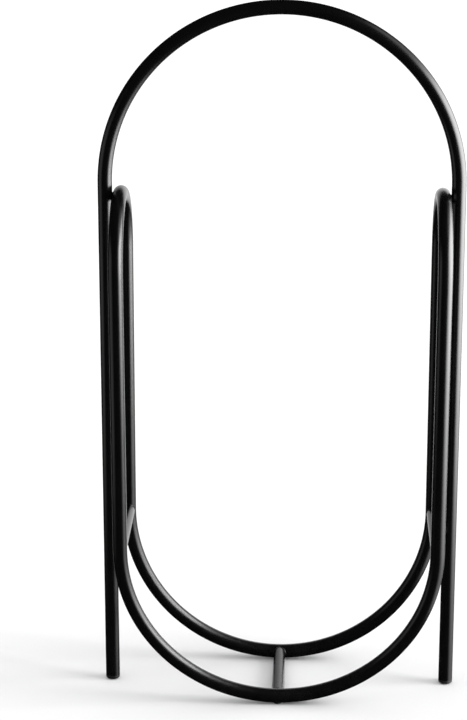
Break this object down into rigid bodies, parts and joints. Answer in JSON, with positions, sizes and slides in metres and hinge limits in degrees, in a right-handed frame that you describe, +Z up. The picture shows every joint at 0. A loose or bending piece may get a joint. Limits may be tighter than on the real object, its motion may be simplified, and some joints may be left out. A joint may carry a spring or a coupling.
{
  "type": "standing coat rack",
  "caption": "Tall steel-tube arch that carries a folded loop of the same tube for hanging coats, resting on capped arch feet and the loop's rounded bottoms.",
  "frame": {"origin": "on the floor, at the middle of the rack's width and depth", "axes": "+Z up; X along the width, in the plane of the arch; Y along the depth, with the front loop at -Y"},
  "size_m": [0.8436, 0.3478, 1.6599],
  "materials": {
    "black_powder_coat": "satin black powder coat on steel tube",
    "coated_weld": "dressed weld bead under the same powder coat",
    "bare_steel": "uncoated drawn steel, sealed inside the tube",
    "black_nylon": "moulded nylon, fine texture",
    "grey_felt": "pressed felt",
    "black_rubber": "matt moulded rubber"
  },
  "bodies": {
    "root": {"arch_top_bend": "black_powder_coat", "arch_leg_left": "black_powder_coat", "arch_leg_right": "black_powder_coat", "arch_sleeve_left": "bare_steel", "arch_sleeve_right": "bare_steel", "front_loop_tube": "black_powder_coat", "rear_loop_tube": "black_powder_coat", "hairpin_left": "black_powder_coat", "hairpin_right": "black_powder_coat", "hairpin_sleeves_left": "bare_steel", "hairpin_sleeves_right": "bare_steel", "spacer_bottom": "black_powder_coat", "spacer_left": "black_powder_coat", "spacer_right": "black_powder_coat", "spacer_bottom_welds": "coated_weld", "spacer_left_welds": "coated_weld", "spacer_right_welds": "coated_weld", "crown_weld_left": "coated_weld", "crown_weld_right": "coated_weld", "foot_plug_left": "black_nylon", "foot_plug_right": "black_nylon", "foot_pad_left": "grey_felt", "foot_pad_right": "grey_felt", "front_bumper": "black_rubber", "rear_bumper": "black_rubber"}
  },
  "joints": []
}
